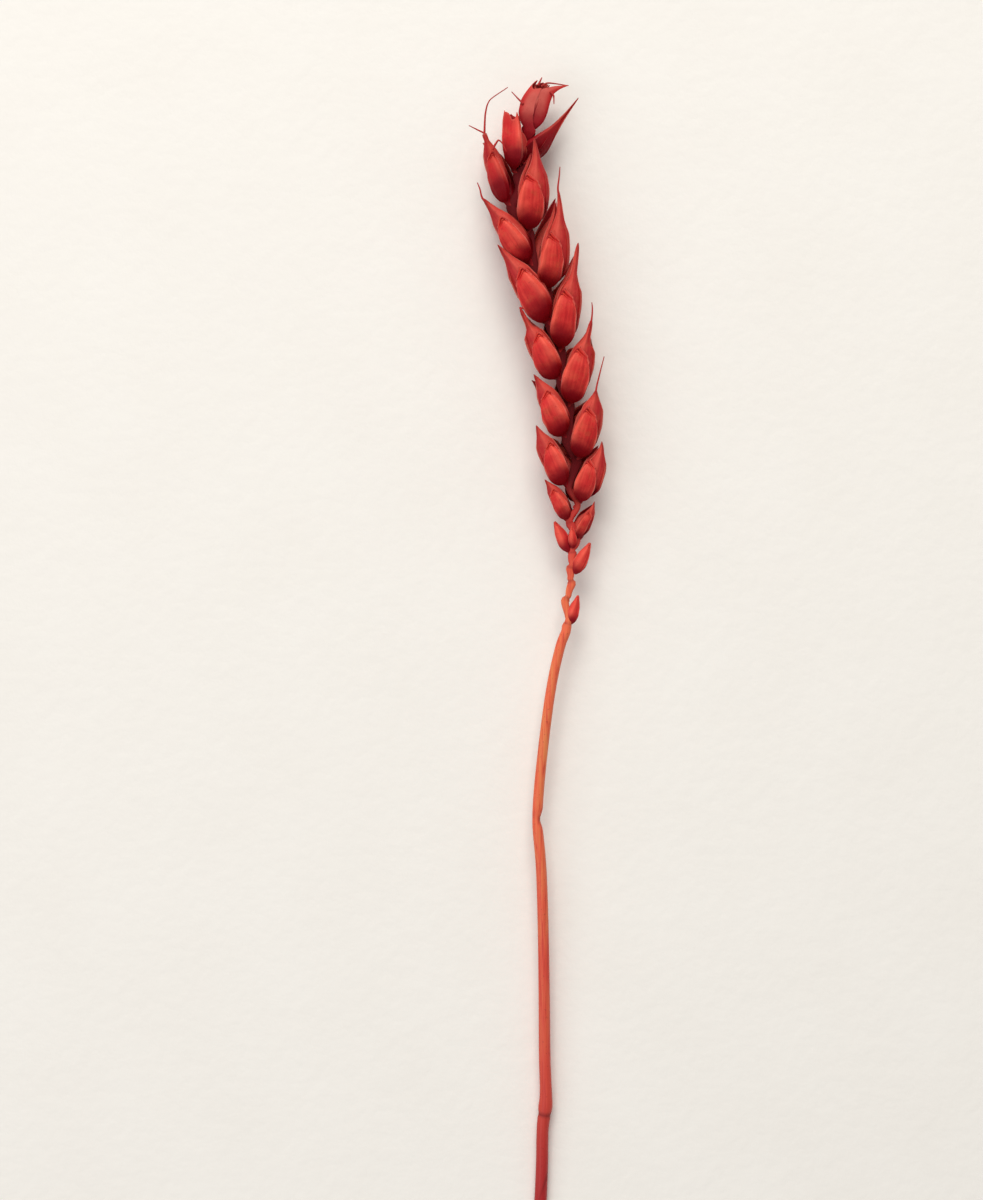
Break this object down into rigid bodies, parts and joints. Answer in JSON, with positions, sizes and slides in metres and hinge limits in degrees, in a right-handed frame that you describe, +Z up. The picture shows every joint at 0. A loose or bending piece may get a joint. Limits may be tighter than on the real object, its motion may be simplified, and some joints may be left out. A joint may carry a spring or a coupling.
{
  "type": "wheat ear",
  "caption": "Dried, red-dyed ear of wheat lying on its side: two rows of plump papery spikelets with pointed beaks on a zigzag rachis, with a length of slim hollow stalk.",
  "frame": {"origin": "on the surface it lies on, under the middle of its box", "axes": "+Y along the ear towards its tip, +X across the two rows of spikelets, +Z up from the surface"},
  "size_m": [0.0188, 0.1824, 0.0103],
  "materials": {
    "glume": "dyed dry husk, satin to matte, finely ribbed along its length",
    "floret": "dyed dry husk, satin, lighter along the keel and the beak",
    "straw": "dyed dry straw, smooth satin, finely streaked along its length"
  },
  "bodies": {
    "root": {"stalk": "straw", "right_1_glume_front": "glume", "right_1_glume_back": "glume", "right_1_florets": "floret", "right_2_glume_front": "glume", "right_2_glume_back": "glume", "right_2_florets": "floret", "right_3_glume_front": "glume", "right_3_glume_back": "glume", "right_3_florets": "floret", "right_4_glume_front": "glume", "right_4_glume_back": "glume", "right_4_florets": "floret", "right_5_glume_front": "glume", "right_5_glume_back": "glume", "right_5_florets": "floret", "right_6_glume_front": "glume", "right_6_glume_back": "glume", "right_6_florets": "floret", "right_7_glume_front": "glume", "right_7_glume_back": "glume", "right_7_florets": "floret", "right_8_glume_front": "glume", "right_8_glume_back": "glume", "right_8_florets": "floret", "left_1_glume_front": "glume", "left_1_glume_back": "glume", "left_1_florets": "floret", "left_2_glume_front": "glume", "left_2_glume_back": "glume", "left_2_florets": "floret", "left_3_glume_front": "glume", "left_3_glume_back": "glume", "left_3_florets": "floret", "left_4_glume_front": "glume", "left_4_glume_back": "glume", "left_4_florets": "floret", "left_5_glume_front": "glume", "left_5_glume_back": "glume", "left_5_florets": "floret", "left_6_glume_front": "glume", "left_6_glume_back": "glume", "left_6_florets": "floret", "left_7_glume_front": "glume", "left_7_glume_back": "glume", "left_7_florets": "floret", "left_8_glume_front": "glume", "left_8_glume_back": "glume", "left_8_florets": "floret", "top_glume_front": "glume", "top_glume_back": "glume", "top_florets": "floret", "stunted_husk_1": "glume", "stunted_husk_2": "glume", "stunted_husk_3": "glume", "stunted_husk_4": "glume"}
  },
  "joints": []
}
